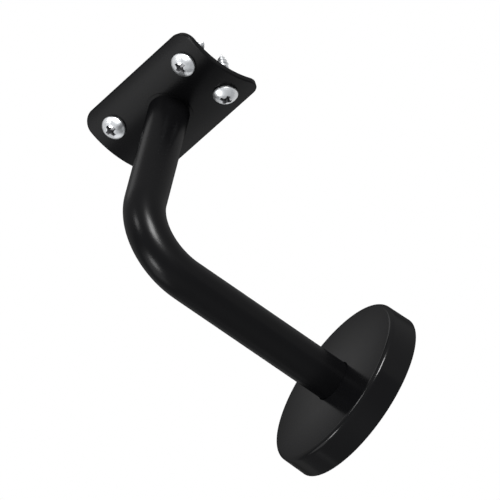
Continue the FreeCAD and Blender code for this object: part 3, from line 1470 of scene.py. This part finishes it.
    def build(self, finish: ZincPlate, material: bpy.types.Material) -> None:
        """Cuts the recess, sets a screw in each hole and puts them in place of their nodes.

        Args:
            finish: the screws' finish.
            material: the finish's material.
        """
        sizes = {
            "Recess span": self.recess_span,
            "Recess wing": self.recess_wing,
            "Recess depth": self.recess_depth,
            "Recess flare": self.recess_flare,
        }
        tree = GeometryTree("rail_screws", sizes)
        graph = tree.graph
        blank = mesh_object("screw_blank", self.blank_mesh())
        source = graph.node("GeometryNodeObjectInfo", None, {"Object": blank})
        body = self.marked(tree, source.outputs["Geometry"], 0.0)
        cross = self.marked(tree, self.cutter(tree), 1.0)
        cut = graph.node(
            "GeometryNodeMeshBoolean",
            {"operation": "DIFFERENCE", "solver": "EXACT"},
            {"Mesh 1": body, "Mesh 2": cross, "Self Intersection": True},
        )
        settings = {"data_type": "FLOAT_VECTOR"}
        turn = graph.node("GeometryNodeInputNamedAttribute", settings, {"Name": TURN_ATTRIBUTE})
        rotation = graph.node("FunctionNodeEulerToRotation", None, {0: turn.outputs[0]})
        points, spin = tree.entry.outputs[0], rotation.outputs[0]
        inputs = {"Points": points, "Instance": cut.outputs[0], "Rotation": spin}
        placed = graph.node("GeometryNodeInstanceOnPoints", None, inputs)
        tree.finish(placed.outputs[0], material)
        mesh = tree.plain_mesh("rail_screws_zinc", self.seat_mesh())
        bpy.data.objects.remove(blank)
        leftover = mesh.attributes.get(TURN_ATTRIBUTE)
        if leftover is not None:
            mesh.attributes.remove(leftover)
        face_outwards(mesh, self.merge)
        smooth(mesh)
        names = [name for _place, name in self.saddle.seats()]
        dress(mesh_object("rail_screws_zinc", mesh), finish.slot, *names)


# ---------------------------------------------------------------- studio


class Lamp(Enum):
    """Places of the studio's soft lamps round the bracket."""

    RIGHT = "key_right"
    UNDER = "under"
    LOW_LEFT = "low_left"
    FRONT = "front"
    HIGH_LEFT = "high_left"
    BEHIND = "behind"


@dataclass(frozen=True)
class SoftBox:
    """One rectangular lamp that faces the bracket."""

    place: Lamp
    azimuth: float
    elevation: float
    distance: float
    width: float
    height: float
    power: float

    def build(self, centre: Vector) -> None:
        """Hangs the lamp.

        Args:
            centre: the point that the lamp faces.
        """
        light = bpy.data.lights.new(self.place.value, "AREA")
        light.shape = "RECTANGLE"
        light.size = self.width
        light.size_y = self.height
        light.energy = self.power
        lamp = bpy.data.objects.new(self.place.value, light)
        bpy.context.scene.collection.objects.link(lamp)
        away = direction(self.azimuth, self.elevation)
        lamp.location = centre + away * self.distance
        lamp.rotation_mode = "QUATERNION"
        lamp.rotation_quaternion = away.to_track_quat("Z", "Y")


def direction(azimuth: float, elevation: float) -> Vector:
    """Unit vector from the bracket to a lamp.

    Args:
        azimuth: turn in degrees, 0 away from the wall and 90 along +X.
        elevation: rise in degrees.

    Returns:
        The vector.
    """
    turn = math.radians(azimuth)
    rise = math.radians(elevation)
    level = math.cos(rise)
    return Vector((math.sin(turn) * level, -math.cos(turn) * level, math.sin(rise)))


SOFT_BOXES = (
    SoftBox(Lamp.RIGHT, 58.5, 2.0, 1.6, 0.45, 0.6, 56.0),
    SoftBox(Lamp.UNDER, -29.0, -53.0, 1.6, 0.4, 0.4, 17.0),
    SoftBox(Lamp.LOW_LEFT, -60.0, -45.0, 1.6, 0.9, 0.9, 7.0),
    SoftBox(Lamp.FRONT, 0.0, -4.0, 1.6, 0.35, 0.35, 8.0),
    SoftBox(Lamp.HIGH_LEFT, -38.0, 45.0, 1.6, 0.6, 0.6, 2.4),
    SoftBox(Lamp.BEHIND, -139.0, -22.0, 1.6, 1.2, 1.2, 4.0),
)


@dataclass(frozen=True)
class Studio:
    """Pale floor far below the bracket, soft lamps, white surroundings and the camera."""

    floor_drop: float = 2.6
    floor_size: float = 60.0
    floor_colour: Colour = (0.92, 0.92, 0.92)
    fill_colour: Colour = (0.95, 0.97, 1.0)
    fill_strength: float = 0.65
    floor_roughness: float = 0.9
    camera_place: tuple[float, float, float] = (1.1854, -0.6851, -1.4013)
    camera_target: tuple[float, float, float] = (0.0030, -0.0598, 0.0318)
    camera_up: tuple[float, float, float] = (0.5027, -0.5288, 0.6838)
    camera_lens: float = 378.0
    sensor_width: float = 36.0
    clip_range: tuple[float, float] = (0.05, 200.0)

    def build_floor(self) -> None:
        """Lays the floor, which isn't part of the object."""
        half = self.floor_size / 2
        corners = [(-half, -half), (half, -half), (half, half), (-half, half)]
        mesh = bpy.data.meshes.new("studio_floor")
        mesh.from_pydata([(x, y, -self.floor_drop) for x, y in corners], [], [(0, 1, 2, 3)])
        material, _graph, shader = new_material("studio_floor")
        shader.inputs["Base Color"].default_value = opaque(self.floor_colour)
        shader.inputs["Roughness"].default_value = self.floor_roughness
        mesh.materials.append(material)
        floor = mesh_object("studio_floor", mesh)
        floor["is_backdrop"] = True

    def build_world(self) -> None:
        """Gives a soft fill, with white wherever the surroundings are seen or mirrored."""
        world = bpy.data.worlds.new("studio_world")
        world.use_nodes = True
        world.node_tree.nodes.clear()
        graph = Graph(world.node_tree)
        path = graph.node("ShaderNodeLightPath")
        seen = graph.value(path, "Is Camera Ray")
        seen = seen.at_least(graph.value(path, "Is Glossy Ray"))
        seen = seen.at_least(graph.value(path, "Is Transmission Ray"))
        shades = []
        for colour, strength in ((self.fill_colour, self.fill_strength), ((1.0, 1.0, 1.0), 1.0)):
            inputs = {"Color": opaque(colour), "Strength": strength}
            shades.append(graph.node("ShaderNodeBackground", None, inputs).outputs[0])
        mixed = graph.node("ShaderNodeMixShader", None, {0: seen, 1: shades[0], 2: shades[1]})
        graph.node("ShaderNodeOutputWorld", None, {"Surface": mixed.outputs[0]})
        bpy.context.scene.world = world

    def build_camera(self) -> None:
        """Puts the camera below the bracket, on the side away from the wall."""
        data = bpy.data.cameras.new("camera")
        data.sensor_width = self.sensor_width
        data.lens = self.camera_lens
        data.clip_start, data.clip_end = self.clip_range
        camera = bpy.data.objects.new("camera", data)
        bpy.context.scene.collection.objects.link(camera)
        place = Vector(self.camera_place)
        back = (place - Vector(self.camera_target)).normalized()
        right = Vector(self.camera_up).cross(back).normalized()
        turn = Matrix((right, back.cross(right), back)).transposed()
        camera.matrix_world = Matrix.Translation(place) @ turn.to_4x4()
        bpy.context.scene.camera = camera

    def build(self, low: Vector, high: Vector) -> None:
        """Builds the whole studio.

        Args:
            low: lowest corner of the bracket.
            high: highest corner of the bracket.
        """
        centre = (low + high) / 2
        self.build_floor()
        self.build_world()
        self.build_camera()
        for box in SOFT_BOXES:
            box.build(centre)
        bpy.context.scene.view_settings.view_transform = "Standard"


def main() -> None:
    """Builds every sub-assembly in order."""
    logging.basicConfig(level=logging.INFO, format="%(name)s: %(message)s")
    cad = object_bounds()
    Studio().build(*cad)

    arm_coat = ARM_COAT.material()
    cap_coat = CAP_COAT.material()
    zinc = SCREW_ZINC.material()

    saddle = Saddle.from_frame()
    saddle.build(ARM_COAT, arm_coat)
    arm = Arm.from_frame(saddle.outer_radius)
    arm.build_tube(ARM_COAT, arm_coat)
    arm.build_weld(ARM_COAT, arm_coat)
    mount = WallMount.from_frame(arm.radius)
    mount.build_cap(CAP_COAT, cap_coat)
    mount.build_plate(ARM_COAT, arm_coat)
    RailScrews(saddle).build(SCREW_ZINC, zinc)

    hidden_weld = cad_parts["wall_weld"]
    hidden_weld.data.materials.clear()
    hidden_weld.data.materials.append(arm_coat)


if __name__ == "__main__":
    main()
